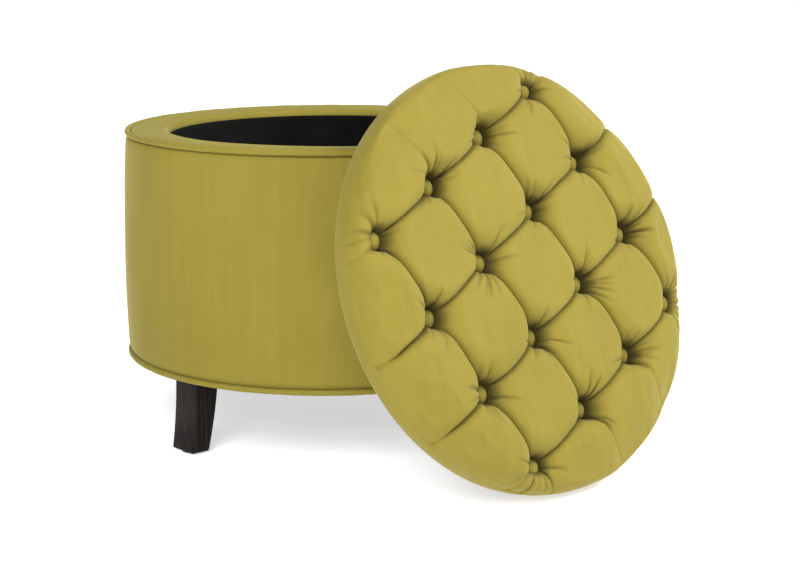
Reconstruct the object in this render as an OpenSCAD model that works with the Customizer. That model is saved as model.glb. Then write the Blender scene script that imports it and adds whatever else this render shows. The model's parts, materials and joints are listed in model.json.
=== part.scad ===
// Round storage ottoman: an upholstered drum on four legs, with a well inside and a loose,
// button-tufted lid. The lid stands on the floor and leans on the drum's rim. Millimetres, +Z up.
// The origin is on the floor, at the middle of the footprint of drum and lid together.

/* [Drum] */
// Diameter over the piping at the top of the drum
drum_d = 560; // [540:5:580]
// Height of the upholstered side, from the hem to the top of the piping
side_h = 310; // [280:5:340]
// How far the side bellies out beyond the top piping
belly = 4; // [3:0.5:6]
// Width of the padded collar around the opening
collar_w = 60; // [56:1:64]
// Thickness of the plywood base board and top ring
ply_t = 15; // [12:1:18]
// Thickness of the bent fibreboard outside the posts
outer_wall_t = 4; // [3:0.5:5]
// Side of the square posts between the base board and the top ring
post_w = 38; // [30:1:40]
// Diameter of the piping
piping_d = 7.6; // [6:0.2:9]

/* [Legs] */
// Height of the legs below the hem
leg_h = 107; // [90:1:130]
// Width of a leg's outer face at the top
leg_top_w = 50; // [40:1:54]
// Width of a leg's outer face at the foot
leg_foot_w = 47; // [34:1:50]
// Depth of a leg at the top, towards the middle of the drum
leg_top_depth = 36; // [32:1:40]
// Depth of a leg at the foot
leg_foot_depth = 28; // [24:1:32]
// How far a leg's outer face curves outwards on its way down
leg_flare = 9; // [4:1:14]

/* [Lid] */
// Diameter of the lid at its widest
lid_d = 544; // [530:2:556]
// Height of the lid above the underside of its board
lid_h = 73.5; // [66:0.5:84]
// Tilt of the leaning lid, from lying flat
lid_lean = 69.5; // [66:0.5:73]
// Thickness of the lid's plywood board
lid_board_t = 12; // [10:1:12]

/* [Tufting] */
// Buttons along each side of the square grid
tuft_count = 4; // [3:1:4]
// Distance between neighbouring buttons
tuft_pitch = 114; // [106:1:115]
// Turn of the button grid on the lid
tuft_turn = 28; // [22:1:30]
// Diameter of a covered button
button_d = 24; // [20:1:26]
// Depth of the buttons below the top of the padding
tuft_depth = 30; // [24:1:32]

/* [Hidden] */
$fn = 144;
post_count = 8;
POSTS = [for (i = [1:post_count]) str("post_", i)];
LEGS = ["leg_right", "leg_back", "leg_left", "leg_front"];
CLEATS = ["cleat_1", "cleat_2", "cleat_3", "cleat_4"];

// cloth thicknesses, and the gap left between round pieces that lie against each other
velvet_t = 1.6;
lining_t = 0.8;
skin_gap = 0.2;
// past a cut face, so that a cutting solid never ends on the face it cuts
past = 1;

// drum: radii
rim_r = drum_d / 2;
belly_r = rim_r + belly;
well_r = rim_r - collar_w;
piping_r = rim_r - piping_d / 2;
hem_piping_r = belly_r - 0.7 - piping_d / 2;
side_top_r = rim_r - 1.5;
widest_at = 0.4;
padding_least = 9;
wall_r = rim_r - padding_least;
frame_r = wall_r - outer_wall_t - skin_gap;
ring_in_r = well_r + 2;
inner_wall_t = 3;
lining_r = well_r - skin_gap;
hem_turn_in = 34;
dust_cover_in = 13;
hem_edge_r = hem_piping_r - piping_d / 2 - 0.1;

// drum: levels
board_z = leg_h + 1;
hem_z = board_z - velvet_t;
dust_z = hem_z - lining_t;
floor_z = board_z + ply_t;
rim_z = leg_h + side_h;
piping_z = rim_z - piping_d / 2;
collar_z = rim_z - 1;
lip_r = 9;
ring_z = collar_z - lip_r;
collar_tail_z = ring_z - 9;
collar_out_r = wall_r + velvet_t - skin_gap;
side_z0 = leg_h + piping_d + 0.2;
side_z1 = rim_z - piping_d - 0.2;
floor_panel_t = 3;
lining_floor_t = 1;

// legs and what holds them
leg_z = dust_z;
glide_t = 2.5;
glide_d = 22;
nail_r = 1.2;
nail_l = 12;
leg_set_in = 30.4;
leg_out_r = rim_r - leg_set_in;
bolt_r = 3.9;
bolt_ring_r = leg_out_r - leg_top_depth / 3;
bolt_in_leg = 34;
t_nut_r = 5;
t_nut_flange_r = 10;
t_nut_flange_t = 1.5;
fit_gap = 0.1;

// posts and screws
post_out_r = sqrt(frame_r * frame_r - post_w * post_w / 4) - 0.3;
post_mid_r = post_out_r - post_w / 2;
post_turn = 180 / post_count;
screw_r = 2;
screw_head_r = 4;
screw_head_h = 3;
screw_l = 48;

// staples: how many, how long, and how far in from the edge of the cloth
hem_staple_count = 48;
hem_staple_turn = 180 / hem_staple_count;
wall_staple_count = 24;
wall_staple_l = 10;
staple_in = 8;
lining_staple_in = 6;
lining_staple_l = 9;

// lid: the round edge is a quarter ellipse above its widest level and a slimmer one below
lid_r = lid_d / 2;
shoulder_w = 70;
widest_z = 31;
edge_bulge = 8;
lid_board_r = lid_r - edge_bulge - velvet_t - 0.4;
wadding_t = 6;
lid_hem_in = 32;
seat_z = lid_h - tuft_depth - 7.5;
pocket_r = button_d / 2 + 2;
twine_r = 0.8;
strand_r = 1.8;
eye_r = 3;
eye_wire_r = 0.7;
eye_z = seat_z - eye_r + 0.6;
twine_hole_r = 3.5;
washer_r = 9;
washer_t = 1.5;
recess_h = 4;
cleat_l = 70;
cleat_w = 22;
cleat_h = 18;
cleat_ring_r = 200;
cleat_z = -velvet_t - lining_t;
cleat_screw_l = 29;
lid_lining_in = 8;
knot_r = 3.6;
// the corner buttons come midway between two of the lid's staples
lid_staples = 40;
lid_staple_turn = tuft_turn + 45 + 180 / lid_staples;

// the lean: the lid's edge stands on the floor, and the rim's piping touches its lining
rest_gap = 0.3;
function reach(across, up) = sqrt(across * across + up * up);
edge_reach = reach(edge_bulge * sin(lid_lean), (widest_z + velvet_t) * cos(lid_lean));
lid_z = (lid_r - edge_bulge) * sin(lid_lean) - widest_z * cos(lid_lean) + edge_reach;
rim_to_lid = piping_d / 2 + rest_gap - cleat_z - (lid_z - piping_z) * cos(lid_lean);
lid_out = piping_r + rim_to_lid / sin(lid_lean);
shoulder_reach = reach(shoulder_w * cos(lid_lean), (lid_h - widest_z) * sin(lid_lean));
lid_reach = lid_out + (lid_r - shoulder_w) * cos(lid_lean) + widest_z * sin(lid_lean) + shoulder_reach;
drum_y = (lid_reach - belly_r) / 2;

velvet = [0.69, 0.64, 0.23];
black_cloth = [0.07, 0.07, 0.07];
espresso = [0.16, 0.12, 0.10];
plywood = [0.80, 0.68, 0.48];
fibreboard = [0.60, 0.48, 0.34];
steel = [0.75, 0.76, 0.78];
padding_white = [0.93, 0.92, 0.88];
cord_white = [0.90, 0.87, 0.78];

// shared shapes

// a ring, or a disc where r_in is 0, between two levels
module ring(r_in, r_out, z0, z1) {
    difference() {
        translate([0, 0, z0]) cylinder(r = r_out, h = z1 - z0);
        if (r_in > 0) translate([0, 0, z0 - past]) cylinder(r = r_in, h = z1 - z0 + 2 * past);
    }
}

// copies around the axis, with x pointing outwards at each place
module around(count, r, turn = 0) {
    for (i = [0:count - 1]) rotate([0, 0, turn + 360 * i / count]) translate([r, 0, 0]) children();
}

// copies at each button of the tufting grid
module at_buttons() {
    for (i = [0:tuft_count - 1], j = [0:tuft_count - 1])
        rotate([0, 0, tuft_turn])
            translate([i - (tuft_count - 1) / 2, j - (tuft_count - 1) / 2, 0] * tuft_pitch) children();
}

// a countersunk screw, head flush at z = 0 and pointing up
module screw(l, clearance = 0) {
    cylinder(r = screw_r + clearance, h = l + clearance);
    cylinder(r1 = screw_head_r + clearance, r2 = screw_r + clearance, h = screw_head_h);
}

// a staple with its crown just above z = 0, driven upwards
module staple(l = 8) {
    translate([-0.6, -5, 0]) cube([1.2, 10, 0.7]);
    for (y = [-5, 4.3]) translate([-0.6, y, 0]) cube([1.2, 0.7, l]);
}

module in_drum() {
    translate([0, drum_y, 0]) children();
}

// from the lid's own frame, axis up and board underside at z = 0, to where it leans
module in_lid() {
    translate([0, drum_y - lid_out, lid_z]) rotate([lid_lean, 0, 0]) children();
}

// outer radius of the barrel-shaped side, at a fraction of its height
function side_r(t) = belly_r - (belly_r - side_top_r) * pow((t - widest_at) / (1 - widest_at), 2);

// the barrel's profile from bottom to top, moved inwards by inset
function barrel(inset, trim) = [
    for (t = [0:0.1:1]) [side_r(t) - inset, side_z0 + trim + t * (side_z1 - side_z0 - 2 * trim)]
];

// half the lid's profile, moved inwards by inset: two quarter ellipses, closed along the axis
function lid_profile(inset) = concat(
    [[0, -velvet_t + inset]],
    [for (a = [-90:10:-10]) [
        lid_r - edge_bulge - inset + edge_bulge * cos(a),
        widest_z + (widest_z + velvet_t - inset) * sin(a)
    ]],
    [for (a = [0:7.5:90]) [
        lid_r - shoulder_w + (shoulder_w - inset) * cos(a),
        widest_z + (lid_h - widest_z - inset) * sin(a)
    ]],
    [[0, lid_h - inset]]
);

module lid_solid(inset) {
    rotate_extrude() polygon(lid_profile(inset));
}

// drum frame

module bottom_board() {
    color(plywood) in_drum() difference() {
        ring(0, frame_r, board_z, floor_z);
        around(4, bolt_ring_r) {
            translate([0, 0, board_z - past]) cylinder(r = t_nut_r + fit_gap, h = ply_t + 2 * past);
            translate([0, 0, floor_z - t_nut_flange_t - fit_gap])
                cylinder(r = t_nut_flange_r + fit_gap, h = ply_t);
        }
        around(post_count, post_mid_r, post_turn)
            translate([0, 0, board_z]) screw(screw_l, fit_gap);
    }
}

module top_ring() {
    color(plywood) in_drum() difference() {
        ring(ring_in_r, frame_r, ring_z - ply_t, ring_z);
        around(post_count, post_mid_r, post_turn)
            translate([0, 0, ring_z]) mirror([0, 0, 1]) screw(screw_l, fit_gap);
    }
}

module post(i) {
    color(plywood) in_drum() rotate([0, 0, post_turn + 360 * i / post_count])
        translate([post_mid_r, 0, 0]) difference() {
            translate([-post_w / 2, -post_w / 2, floor_z])
                cube([post_w, post_w, ring_z - ply_t - floor_z]);
            translate([0, 0, board_z]) screw(screw_l, fit_gap);
            translate([0, 0, ring_z]) mirror([0, 0, 1]) screw(screw_l, fit_gap);
        }
}

module outer_wall() {
    color(fibreboard) in_drum() ring(wall_r - outer_wall_t, wall_r, board_z, ring_z);
}

module inner_wall() {
    color(fibreboard) in_drum() ring(ring_in_r, ring_in_r + inner_wall_t, floor_z, ring_z - ply_t);
}

module frame_screws() {
    color(steel) in_drum() around(post_count, post_mid_r, post_turn) {
        translate([0, 0, board_z]) screw(screw_l);
        translate([0, 0, ring_z]) mirror([0, 0, 1]) screw(screw_l);
    }
}

module wall_staples() {
    color(steel) in_drum() for (z = [board_z + ply_t / 2, ring_z - ply_t / 2])
        around(wall_staple_count, wall_r, 180 / wall_staple_count)
            translate([0, 0, z]) rotate([0, -90, 0]) staple(wall_staple_l);
}

// drum upholstery

module side_padding() {
    color(padding_white) in_drum() rotate_extrude() polygon(concat(
        [[wall_r + skin_gap, side_z0 + velvet_t + skin_gap]],
        barrel(velvet_t + skin_gap, velvet_t + skin_gap),
        [[wall_r + skin_gap, side_z1 - velvet_t - skin_gap]]
    ));
}

module side_cover() {
    inner = barrel(velvet_t, velvet_t);
    color(velvet) in_drum() rotate_extrude() polygon(concat(
        [[hem_edge_r - hem_turn_in, hem_z], [hem_edge_r, hem_z], [hem_edge_r, side_z0]],
        barrel(0, 0),
        [[wall_r + velvet_t, side_z1], [wall_r + velvet_t, side_z1 - velvet_t]],
        [for (i = [len(inner) - 1:-1:0]) inner[i]],
        [[hem_edge_r - velvet_t, side_z0 + velvet_t], [hem_edge_r - velvet_t, board_z]],
        [[hem_edge_r - hem_turn_in, board_z]]
    ));
}

// the collar's section from the opening's edge to r_out: a round lip, then flat, moved in by inset
function collar_top(inset, r_out) = concat(
    [for (a = [180:-7.5:90]) [well_r + lip_r, ring_z] + (lip_r - inset) * [cos(a), sin(a)]],
    [[r_out, collar_z - inset]]
);

module collar_padding() {
    color(padding_white) in_drum() rotate_extrude()
        polygon(concat(collar_top(velvet_t + skin_gap, wall_r), [[wall_r, ring_z]]));
}

// velvet over the collar, with a tail down the edge of the top ring
module collar_cover() {
    under = collar_top(velvet_t, collar_out_r);
    color(velvet) in_drum() rotate_extrude() polygon(concat(
        [[well_r, collar_tail_z]],
        collar_top(0, collar_out_r),
        [for (i = [len(under) - 1:-1:0]) under[i]],
        [[well_r + velvet_t, collar_tail_z]]
    ));
}

module piping(r, z) {
    color(velvet) in_drum() rotate_extrude() translate([r, z]) difference() {
        circle(piping_d / 2, $fn = 48);
        circle(piping_d / 2 - velvet_t / 2, $fn = 48);
    }
}

module piping_cord(r, z) {
    color(cord_white) in_drum() rotate_extrude()
        translate([r, z]) circle(piping_d / 2 - velvet_t / 2 - skin_gap / 2, $fn = 48);
}

module hem_staples() {
    color(steel) in_drum() around(hem_staple_count, hem_edge_r - hem_turn_in + staple_in, hem_staple_turn)
        translate([0, 0, hem_z]) staple();
}

module floor_panel() {
    color(fibreboard) in_drum() ring(0, ring_in_r - skin_gap, floor_z, floor_z + floor_panel_t);
}

module lining_wall() {
    color(black_cloth) in_drum()
        ring(lining_r - lining_t, lining_r, floor_z + floor_panel_t, ring_z);
}

module lining_floor() {
    z0 = floor_z + floor_panel_t;
    color(black_cloth) in_drum() ring(0, lining_r - lining_t - skin_gap, z0, z0 + lining_floor_t);
}

module dust_cover() {
    color(black_cloth) in_drum() difference() {
        ring(0, hem_edge_r - dust_cover_in, dust_z, hem_z);
        around(4, bolt_ring_r) translate([0, 0, dust_z - past]) cylinder(r = t_nut_r, h = 3 * past);
    }
}

module dust_cover_staples() {
    color(steel) in_drum() around(hem_staple_count, hem_edge_r - dust_cover_in - lining_staple_in)
        translate([0, 0, dust_z]) staple(lining_staple_l);
}

// legs

// a leg's side view: outer edge out at the foot, inner edge following it
function leg_outer(t) = leg_out_r + leg_flare * t * t;
function leg_depth(t) = leg_top_depth + (leg_foot_depth - leg_top_depth) * t;
function leg_level(t) = leg_z + (glide_t - leg_z) * t;

module leg(i) {
    steps = [0:0.1:1];
    back_steps = [1:-0.1:0];
    color(espresso) in_drum() rotate([0, 0, 90 * i]) difference() {
        intersection() {
            translate([0, leg_top_w, 0]) rotate([90, 0, 0]) linear_extrude(2 * leg_top_w)
                polygon(concat(
                    [for (t = steps) [leg_outer(t), leg_level(t)]],
                    [for (t = back_steps) [leg_outer(t) - leg_depth(t), leg_level(t)]]
                ));
            rotate([90, 0, 90]) linear_extrude(rim_r) polygon([
                [-leg_foot_w / 2, glide_t], [leg_foot_w / 2, glide_t],
                [leg_top_w / 2, leg_z], [-leg_top_w / 2, leg_z]
            ]);
        }
        translate([bolt_ring_r, 0, leg_z - bolt_in_leg]) cylinder(r = bolt_r + fit_gap, h = leg_z);
        translate([leg_outer(1) - leg_foot_depth / 2, 0, 0])
            cylinder(r = nail_r + fit_gap, h = glide_t + nail_l + fit_gap);
    }
}

module hanger_bolts() {
    color(steel) in_drum() around(4, bolt_ring_r)
        translate([0, 0, leg_z - bolt_in_leg + 1]) cylinder(r = bolt_r, h = bolt_in_leg + ply_t);
}

module t_nuts() {
    color(steel) in_drum() around(4, bolt_ring_r) difference() {
        union() {
            translate([0, 0, floor_z - ply_t + 3]) cylinder(r = t_nut_r, h = ply_t - 3);
            translate([0, 0, floor_z - t_nut_flange_t]) cylinder(r = t_nut_flange_r, h = t_nut_flange_t);
        }
        translate([0, 0, board_z]) cylinder(r = bolt_r + fit_gap, h = ply_t + past);
    }
}

module glides() {
    color([0.25, 0.25, 0.25]) in_drum() around(4, leg_outer(1) - leg_foot_depth / 2) {
        cylinder(d = glide_d, h = glide_t);
        cylinder(r = nail_r, h = glide_t + nail_l);
    }
}

// lid

module lid_board() {
    color(plywood) in_lid() difference() {
        ring(0, lid_board_r, 0, lid_board_t);
        at_buttons() {
            translate([0, 0, -past]) cylinder(r = twine_hole_r, h = lid_board_t + 2 * past);
            translate([0, 0, -past]) cylinder(r = washer_r + 0.5, h = recess_h + past);
        }
        at_cleats() cleat_screw_places() translate([0, 0, cleat_z - cleat_h]) screw(cleat_screw_l, fit_gap);
    }
}

module lid_foam() {
    color(padding_white) in_lid() difference() {
        lid_solid(velvet_t + wadding_t + 2 * skin_gap);
        translate([0, 0, -2 * past]) cylinder(r = lid_r, h = lid_board_t + 2 * past + skin_gap);
        at_buttons() {
            cylinder(r = twine_hole_r + eye_wire_r, h = lid_h);
            translate([0, 0, seat_z - velvet_t - skin_gap])
                cylinder(r = pocket_r + velvet_t + skin_gap, h = lid_h);
        }
    }
}

module lid_wadding() {
    color(padding_white) in_lid() difference() {
        lid_solid(velvet_t + skin_gap);
        lid_solid(velvet_t + wadding_t + skin_gap);
        translate([0, 0, -2 * past])
            cylinder(r = lid_board_r + skin_gap, h = lid_board_t + 2 * past + skin_gap);
        translate([0, 0, -2 * past]) cylinder(r = lid_r, h = 4 * past);
        at_buttons() cylinder(r = pocket_r + velvet_t + skin_gap, h = 2 * lid_h);
    }
}

// the velvet: a shell turned in under the board, with a cup for each button
module lid_cover() {
    color(velvet) in_lid() difference() {
        lid_solid(0);
        difference() {
            lid_solid(velvet_t);
            at_buttons() translate([0, 0, seat_z - velvet_t])
                cylinder(r = pocket_r + velvet_t, h = lid_h);
        }
        translate([0, 0, -2 * past])
            cylinder(r = lid_r - edge_bulge - lid_hem_in, h = 2 * past + velvet_t);
        at_buttons() {
            translate([0, 0, seat_z]) cylinder(r = pocket_r, h = lid_h);
            translate([0, 0, seat_z - 2 * velvet_t]) cylinder(r = twine_hole_r + eye_wire_r, h = lid_h);
        }
    }
}

module lid_cover_staples() {
    ring_r = lid_r - edge_bulge - lid_hem_in + staple_in;
    color(steel) in_lid() around(lid_staples, ring_r, lid_staple_turn)
        translate([0, 0, -velvet_t]) staple();
}

module lid_lining() {
    color(black_cloth) in_lid() difference() {
        ring(0, lid_board_r - lid_lining_in, cleat_z, -velvet_t);
        at_cleats() cleat_screw_places()
            translate([0, 0, cleat_z - past]) cylinder(r = screw_r + fit_gap, h = 3 * past);
    }
}

module lid_lining_staples() {
    ring_r = lid_board_r - lid_lining_in - lining_staple_in;
    color(steel) in_lid() around(lid_staples, ring_r, lid_staple_turn)
        translate([0, 0, cleat_z]) staple(lining_staple_l);
}

// the cleats stand on the diagonals, so that the rim rests between two of them
module at_cleats() {
    around(4, cleat_ring_r, 45) children();
}

module cleat_screw_places() {
    for (y = [-cleat_l / 3.5, cleat_l / 3.5]) translate([0, y, 0]) children();
}

module cleat(i) {
    color(plywood) in_lid() rotate([0, 0, 45 + 90 * i]) translate([cleat_ring_r, 0, 0]) difference() {
        translate([-cleat_w / 2, -cleat_l / 2, cleat_z - cleat_h]) cube([cleat_w, cleat_l, cleat_h]);
        cleat_screw_places() translate([0, 0, cleat_z - cleat_h]) screw(cleat_screw_l, fit_gap);
    }
}

module cleat_screws() {
    color(steel) in_lid() at_cleats() cleat_screw_places()
        translate([0, 0, cleat_z - cleat_h]) screw(cleat_screw_l);
}

// buttons: a domed velvet cap on a steel back, whose eye takes the twine

module tuft_buttons() {
    cap_z = seat_z + 1.2;
    dome_h = 6.3;
    dome_r = (pow(button_d / 2, 2) + dome_h * dome_h) / (2 * dome_h);
    color(velvet) in_lid() at_buttons() translate([0, 0, cap_z]) intersection() {
        translate([0, 0, dome_h - dome_r]) sphere(r = dome_r);
        cylinder(d = button_d, h = dome_h + past);
    }
}

module button_backs() {
    color(steel) in_lid() at_buttons() {
        translate([0, 0, seat_z + 0.1]) cylinder(d = button_d - 3, h = 1);
        translate([0, 0, eye_z]) rotate([90, 0, 0]) rotate_extrude($fn = 32)
            translate([eye_r, 0]) circle(eye_wire_r, $fn = 16);
    }
}

// two strands that pass over the eye's lower wire, and the knot under the washer
module button_twines() {
    color(cord_white) in_lid() at_buttons() {
        translate([0, 0, eye_z - eye_r]) rotate([90, 0, 90]) intersection() {
            rotate_extrude($fn = 32) translate([strand_r, 0]) circle(twine_r, $fn = 16);
            translate([-5, 0, -5]) cube(10);
        }
        for (y = [-strand_r, strand_r]) translate([0, y, 2])
            cylinder(r = twine_r, h = eye_z - eye_r - 2, $fn = 16);
        translate([0, 0, 0.3]) cylinder(r = knot_r, h = recess_h - washer_t - 0.3, $fn = 24);
    }
}

module twine_washers() {
    color(black_cloth) in_lid() at_buttons()
        ring(strand_r + twine_r + 0.2, washer_r, recess_h - washer_t, recess_h);
}

bottom_board();
top_ring();
for (i = [0:post_count - 1]) post(i);
outer_wall();
inner_wall();
frame_screws();
wall_staples();
side_padding();
side_cover();
collar_padding();
collar_cover();
piping(piping_r, piping_z);  // top_piping
piping_cord(piping_r, piping_z);  // top_piping_cord
piping(hem_piping_r, leg_h + piping_d / 2);  // hem_piping
piping_cord(hem_piping_r, leg_h + piping_d / 2);  // hem_piping_cord
hem_staples();
floor_panel();
lining_wall();
lining_floor();
dust_cover();
dust_cover_staples();
for (i = [0:3]) leg(i);
hanger_bolts();
t_nuts();
glides();
lid_board();
lid_foam();
lid_wadding();
lid_cover();
lid_cover_staples();
lid_lining();
lid_lining_staples();
for (i = [0:3]) cleat(i);
cleat_screws();
tuft_buttons();
button_backs();
button_twines();
twine_washers();
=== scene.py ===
"""Upholsters and finishes the frame of a round storage ottoman with a loose, button-tufted lid."""

import json
import math

import bpy
import numpy as np
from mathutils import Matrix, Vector


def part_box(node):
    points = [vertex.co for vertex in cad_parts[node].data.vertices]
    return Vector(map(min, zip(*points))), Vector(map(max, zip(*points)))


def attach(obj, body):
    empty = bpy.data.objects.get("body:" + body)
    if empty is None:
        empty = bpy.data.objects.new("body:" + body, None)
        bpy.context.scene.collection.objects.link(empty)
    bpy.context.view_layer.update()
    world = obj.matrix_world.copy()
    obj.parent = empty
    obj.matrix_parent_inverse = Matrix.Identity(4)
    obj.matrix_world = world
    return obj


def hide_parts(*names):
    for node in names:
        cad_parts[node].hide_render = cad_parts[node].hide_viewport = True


bl_info = {
    "name": "Round storage ottoman",
    "version": (1, 0, 0),
    "blender": (4, 5, 0),
    "location": "3D View > Sidebar > Ottoman",
    "description": "Upholsters and finishes the frame of a round storage ottoman with a tufted lid",
    "category": "Object",
}

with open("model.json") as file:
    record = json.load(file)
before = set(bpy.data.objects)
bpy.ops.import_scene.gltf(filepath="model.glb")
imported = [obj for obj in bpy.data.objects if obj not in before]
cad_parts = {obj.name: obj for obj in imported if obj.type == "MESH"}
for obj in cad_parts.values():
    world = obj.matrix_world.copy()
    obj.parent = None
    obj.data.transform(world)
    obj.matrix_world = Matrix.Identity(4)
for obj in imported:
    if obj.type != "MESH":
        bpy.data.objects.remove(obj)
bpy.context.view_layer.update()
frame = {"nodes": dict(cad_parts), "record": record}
# every random draw starts from this
SEED = 11
# thickness of the black cloth
LINING_T = 0.0008
FINE, QUICK, COARSE = 500, 340, 150
# the furthest that the cushion's cloth may move as it settles
SETTLE_CAP = 0.0045
# thin folds round each button
FOLDS = 14
# the sewn seam is at the back, away from the lid
SEAM = math.radians(48)


# where the frame's nodes are

def middle(node):
    low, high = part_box(node)
    return (low + high) / 2


def width(node):
    low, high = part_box(node)
    return high.x - low.x


DRUM = middle("outer_wall")
# the lid's board: its thickness and its diameter
BOARD_T = 0.012
BOARD_D = width("lid_board")
BOARD_LOW, BOARD_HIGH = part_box("lid_board")
BOARD_DEEP, BOARD_TALL = BOARD_HIGH.y - BOARD_LOW.y, BOARD_HIGH.z - BOARD_LOW.z
# a disc of diameter D and thickness T that leans by A is D cos A + T sin A deep and D sin A + T cos A high
LEAN = math.atan2(
    BOARD_D * BOARD_TALL - BOARD_T * BOARD_DEEP,
    BOARD_D * BOARD_DEEP - BOARD_T * BOARD_TALL,
)
LID_AXES = np.array(
    [[1, 0, 0], [0, math.cos(LEAN), math.sin(LEAN)], [0, -math.sin(LEAN), math.cos(LEAN)]]
)
LID_ORIGIN = np.array(middle("lid_board")) - BOARD_T / 2 * LID_AXES[2]


# sizes and colours that a user would change

def size(name, description, default):
    return bpy.props.FloatProperty(
        name=name, description=description, default=default, unit="LENGTH", precision=4
    )


def share(name, description, default):
    return bpy.props.FloatProperty(
        name=name, description=description, default=default, min=0, max=1, subtype="FACTOR"
    )


def colour(name, description, default):
    return bpy.props.FloatVectorProperty(
        name=name, description=description, default=default, size=3, min=0, max=1, subtype="COLOR"
    )


class OttomanDrum(bpy.types.PropertyGroup):
    """Sizes of the drum's upholstery and legs."""

    widest_r: size("Widest radius", "Radius of the side where it bellies out most", width("side_cover") / 2)
    top_r: size("Top radius", "Radius of the side under the top piping", width("top_piping") / 2 - 0.0015)
    widest_at: share("Widest at", "How far up the side its widest level is", 0.4)
    wall_r: size("Wall radius", "Radius of the fibreboard behind the padding", width("outer_wall") / 2)
    hem_turn_in: size("Hem turn-in", "Width of the velvet stapled under the base", 0.034)
    well_r: size("Well radius", "Radius of the opening", width("collar_cover") / 2 - 0.0524)
    lip_r: size("Lip radius", "Roundness of the collar's inner edge", 0.009)
    leg_flare: size("Leg flare", "How far a leg's outer face curves outwards", 0.009)
    leg_foot_w: size("Foot width", "Width of a leg's outer face at the foot", 0.047)
    leg_top_depth: size("Leg depth", "Depth of a leg at the top", 0.036)
    leg_foot_depth: size("Foot depth", "Depth of a leg at the foot", 0.028)


class OttomanLid(bpy.types.PropertyGroup):
    """Sizes of the lid and its tufting."""

    radius: size("Radius", "Radius of the lid at its widest", 0.272)
    height: size("Height", "Height of the padding above the board's underside", 0.0735)
    shoulder_w: size("Shoulder width", "Width of the rounded edge", 0.070)
    widest_z: size("Widest level", "Height of the widest level above the board's underside", 0.031)
    edge_bulge: size("Edge bulge", "How far the edge stands out past the board", 0.008)
    hem_in: size("Hem turn-in", "Width of the velvet stapled under the board", 0.032)
    cloth_t: size("Cloth thickness", "Thickness of the velvet", 0.0016)
    pitch: size("Button pitch", "Distance between neighbouring buttons", 0.114)
    count: bpy.props.IntProperty(
        name="Buttons a side", description="Buttons along each side of the grid", default=4
    )
    turn: bpy.props.FloatProperty(
        name="Grid turn", description="Turn of the button grid", default=math.radians(28), subtype="ANGLE"
    )
    seat_z: size("Button seat", "Height of the cloth under a button", 0.036)
    crease: share("Crease depth", "Depth of the creases halfway between two buttons", 0.44)
    button_r: size("Button radius", "Radius of a covered button", 0.012)


class OttomanFinish(bpy.types.PropertyGroup):
    """Colours of the cloths and the stain, and the painted shade in the lid's creases."""

    velvet: colour("Velvet", "The velvet's ground colour", (0.180, 0.143, 0.0165))
    nap: colour("Nap", "The velvet's lighter nap", (0.198, 0.159, 0.0195))
    # painted shade: the near-black colour that the velvet is darkened towards in the lid's creases, button
    # pockets and thin folds
    crease_shade: colour("Painted crease shade", "The velvet in the depth of a fold", (0.020, 0.013, 0.0015))
    sheen: colour("Sheen", "What the pile catches at a low angle", (0.93, 0.88, 0.38))
    lining: colour("Lining", "The black cloth inside", (0.0030, 0.0030, 0.0027))
    stain: colour("Stain", "The legs' dark stain", (0.0045, 0.0030, 0.0024))


GROUPS = {"ottoman_drum": OttomanDrum, "ottoman_lid": OttomanLid, "ottoman_finish": OttomanFinish}


# surfaces

def smooth_step(x, low, high):
    """0 below low, 1 above high, and 3t^2 - 2t^3 between them."""
    t = np.clip((x - low) / (high - low), 0, 1)
    return t * t * (3 - 2 * t)


def grid_corners(rows, columns, wrap_rows=False, wrap_columns=False):
    """The row and column of each quad's four corners, running on past the last one where the grid wraps."""
    i, j = np.meshgrid(
        np.arange(rows if wrap_rows else rows - 1),
        np.arange(columns if wrap_columns else columns - 1),
        indexing="ij",
    )
    across = np.stack([i, i, i + 1, i + 1], -1).reshape(-1, 4)
    along = np.stack([j, j + 1, j + 1, j], -1).reshape(-1, 4)
    return across, along


def volume(points, faces):
    """Six times the signed volume: the sum of a . (b x c) over a fan of triangles on each face."""
    total = 0.0
    for k in range(1, faces.shape[1] - 1):
        a, b, c = points[faces[:, 0]], points[faces[:, k]], points[faces[:, k + 1]]
        total += float(np.einsum("ij,ij->", a, np.cross(b, c)))
    return total


def make_piece(name, points, faces, body, finish, uvs=None, fold=None):
    """A closed mesh from points and lists of equal-sided faces, turned so that its faces point outwards."""
    inside_out = sum(volume(points - points.mean(0), f) for f in faces) < 0
    if inside_out:
        faces = [f[:, ::-1] for f in faces]
        uvs = None if uvs is None else [uv[:, ::-1] for uv in uvs]
    mesh = bpy.data.meshes.new(name)
    sides = np.concatenate([np.full(len(f), f.shape[1]) for f in faces])
    loops = np.concatenate([f.ravel() for f in faces])
    mesh.vertices.add(len(points))
    mesh.vertices.foreach_set("co", points.astype(np.float32).ravel())
    mesh.loops.add(len(loops))
    mesh.loops.foreach_set("vertex_index", loops.astype(np.int32))
    mesh.polygons.add(len(sides))
    mesh.polygons.foreach_set("loop_start", np.concatenate([[0], np.cumsum(sides)[:-1]]).astype(np.int32))
    mesh.polygons.foreach_set("use_smooth", np.ones(len(sides), bool))
    mesh.update(calc_edges=True)
    if uvs is not None:
        layer = mesh.uv_layers.new(name="cloth")
        spread = np.concatenate([uv.reshape(-1, 2) for uv in uvs])
        layer.data.foreach_set("uv", spread.astype(np.float32).ravel())
    # the depth in creases and pockets, from which the velvet paints shade
    if fold is not None:
        mesh.attributes.new("fold", "FLOAT", "POINT").data.foreach_set("value", fold.astype(np.float32))
    if mesh.validate():
        raise RuntimeError(f"{name}: the mesh had faults")
    piece = bpy.data.objects.new(name, mesh)
    bpy.context.scene.collection.objects.link(piece)
    mesh.materials.append(finish)
    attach(piece, body)
    return piece


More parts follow.
